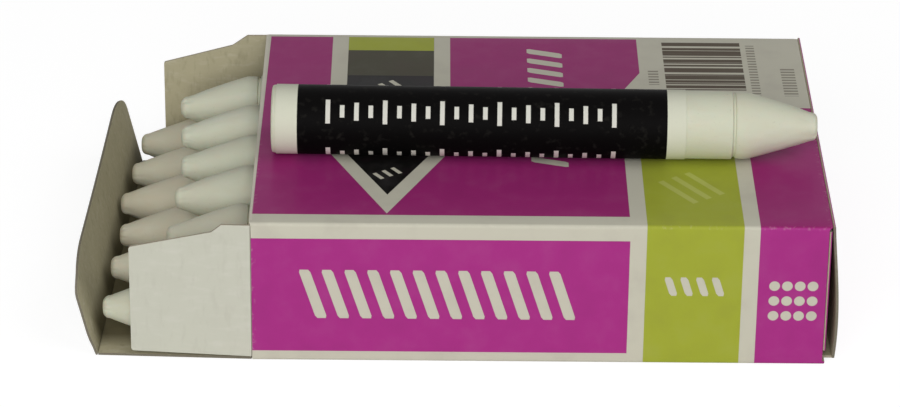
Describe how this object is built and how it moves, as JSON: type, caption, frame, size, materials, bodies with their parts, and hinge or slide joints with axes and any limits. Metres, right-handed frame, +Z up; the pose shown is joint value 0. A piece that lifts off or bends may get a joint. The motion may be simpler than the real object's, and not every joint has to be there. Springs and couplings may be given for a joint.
{
  "type": "marking chalk carton",
  "caption": "Open folding carton of paper-wrapped marking chalks, nested in two rows and slid partly out of one end, with one chalk lying on top.",
  "frame": {"origin": "middle of the carton's underside, in the plane that it stands on", "axes": "+X from the open end to the closed end, +Y away from the side that the picture shows, +Z up"},
  "size_m": [0.1319, 0.078, 0.0391],
  "materials": {
    "carton_board": "satin",
    "chalk": "matte",
    "label_paper": "satin"
  },
  "bodies": {
    "carton": {"carton_body": "carton_board"},
    "open_end_flap": {"open_end_flap": "carton_board"},
    "open_tuck_tongue": {"open_tuck_tongue": "carton_board"},
    "open_near_dust_flap": {"open_near_dust_flap": "carton_board"},
    "open_far_dust_flap": {"open_far_dust_flap": "carton_board"},
    "closed_end_flap": {"closed_end_flap": "carton_board"},
    "closed_tuck_tongue": {"closed_tuck_tongue": "carton_board"},
    "closed_near_dust_flap": {"closed_near_dust_flap": "carton_board"},
    "closed_far_dust_flap": {"closed_far_dust_flap": "carton_board"},
    "bottom_chalk_1": {"bottom_chalk_1_stick": "chalk", "bottom_chalk_1_label": "label_paper"},
    "bottom_chalk_2": {"bottom_chalk_2_stick": "chalk", "bottom_chalk_2_label": "label_paper"},
    "bottom_chalk_3": {"bottom_chalk_3_stick": "chalk", "bottom_chalk_3_label": "label_paper"},
    "bottom_chalk_4": {"bottom_chalk_4_stick": "chalk", "bottom_chalk_4_label": "label_paper"},
    "bottom_chalk_5": {"bottom_chalk_5_stick": "chalk", "bottom_chalk_5_label": "label_paper"},
    "bottom_chalk_6": {"bottom_chalk_6_stick": "chalk", "bottom_chalk_6_label": "label_paper"},
    "top_chalk_1": {"top_chalk_1_stick": "chalk", "top_chalk_1_label": "label_paper"},
    "top_chalk_2": {"top_chalk_2_stick": "chalk", "top_chalk_2_label": "label_paper"},
    "top_chalk_3": {"top_chalk_3_stick": "chalk", "top_chalk_3_label": "label_paper"},
    "top_chalk_4": {"top_chalk_4_stick": "chalk", "top_chalk_4_label": "label_paper"},
    "top_chalk_5": {"top_chalk_5_stick": "chalk", "top_chalk_5_label": "label_paper"},
    "loose_chalk": {"loose_chalk_stick": "chalk", "loose_chalk_label": "label_paper"}
  },
  "joints": [
    {"name": "open_end_flap_fold", "type": "hinge", "parent": "carton", "child": "open_end_flap", "pos_m": [-0.05, 0, 0.00022], "axis": [0, 1, 0], "range_deg": [-90, 0.4]},
    {"name": "open_tuck_tongue_fold", "type": "hinge", "parent": "open_end_flap", "child": "open_tuck_tongue", "pos_m": [-0.07545, 0, 0.00022], "axis": [0.036, 0.9994, 0], "range_deg": [-76.7, 4]},
    {"name": "open_near_dust_flap_fold", "type": "hinge", "parent": "carton", "child": "open_near_dust_flap", "pos_m": [-0.05, -0.03877, 0], "axis": [0, 0, 1], "range_deg": [-0.6, 100]},
    {"name": "open_far_dust_flap_fold", "type": "hinge", "parent": "carton", "child": "open_far_dust_flap", "pos_m": [-0.05, 0.03877, 0], "axis": [0, 0, -1], "range_deg": [-0.8, 100]},
    {"name": "closed_end_flap_fold", "type": "hinge", "parent": "carton", "child": "closed_end_flap", "pos_m": [0.05, 0, 0.02657], "axis": [0, -1, 0], "range_deg": [0, 90]},
    {"name": "closed_tuck_tongue_fold", "type": "hinge", "parent": "closed_end_flap", "child": "closed_tuck_tongue", "pos_m": [0.05082, 0, 0.0011], "axis": [0, -1, 0], "range_deg": [-66.6, 0]},
    {"name": "closed_near_dust_flap_fold", "type": "hinge", "parent": "carton", "child": "closed_near_dust_flap", "pos_m": [0.0494, -0.03877, 0], "axis": [0, 0, -1], "range_deg": [-11, 0]},
    {"name": "closed_far_dust_flap_fold", "type": "hinge", "parent": "carton", "child": "closed_far_dust_flap", "pos_m": [0.0494, 0.03877, 0], "axis": [0, 0, 1], "range_deg": [-11, 0]},
    {"name": "bottom_chalk_1_slide", "type": "slide", "parent": "carton", "child": "bottom_chalk_1", "axis": [1, 0, 0.0074], "range_m": [-0.0012, 0.0288]},
    {"name": "bottom_chalk_2_slide", "type": "slide", "parent": "carton", "child": "bottom_chalk_2", "axis": [1, 0, 0.0074], "range_m": [-0.001, 0.0286]},
    {"name": "bottom_chalk_3_slide", "type": "slide", "parent": "carton", "child": "bottom_chalk_3", "axis": [1, 0, 0.0074], "range_m": [-0.0012, 0.0294]},
    {"name": "bottom_chalk_4_slide", "type": "slide", "parent": "carton", "child": "bottom_chalk_4", "axis": [1, 0, 0.0074], "range_m": [-0.0003, 0.03]},
    {"name": "bottom_chalk_5_slide", "type": "slide", "parent": "carton", "child": "bottom_chalk_5", "axis": [1, 0, 0.0074], "range_m": [-0.0009, 0.0274]},
    {"name": "bottom_chalk_6_slide", "type": "slide", "parent": "carton", "child": "bottom_chalk_6", "axis": [1, 0, 0.0074], "range_m": [-0.0013, 0.0264]},
    {"name": "top_chalk_1_slide", "type": "slide", "parent": "carton", "child": "top_chalk_1", "axis": [1, 0, 0.0074], "range_m": [-0.014, 0.018]},
    {"name": "top_chalk_2_slide", "type": "slide", "parent": "carton", "child": "top_chalk_2", "axis": [1, 0, 0.0074], "range_m": [-0.0144, 0.0183]},
    {"name": "top_chalk_3_slide", "type": "slide", "parent": "carton", "child": "top_chalk_3", "axis": [1, 0, 0.0074], "range_m": [-0.0144, 0.0179]},
    {"name": "top_chalk_4_slide", "type": "slide", "parent": "carton", "child": "top_chalk_4", "axis": [1, 0, 0.0074], "range_m": [-0.0132, 0.0176]},
    {"name": "top_chalk_5_slide", "type": "slide", "parent": "carton", "child": "top_chalk_5", "axis": [1, 0, 0.0074], "range_m": [-0.012, 0.0183]},
    {"name": "loose_chalk_lift", "type": "slide", "parent": "carton", "child": "loose_chalk", "axis": [0, 0, 1], "range_m": [0, 0.05]}
  ],
  "couplings": [
    {"joint": "closed_tuck_tongue_fold", "follows": "closed_end_flap_fold", "ratio": -0.74}
  ]
}
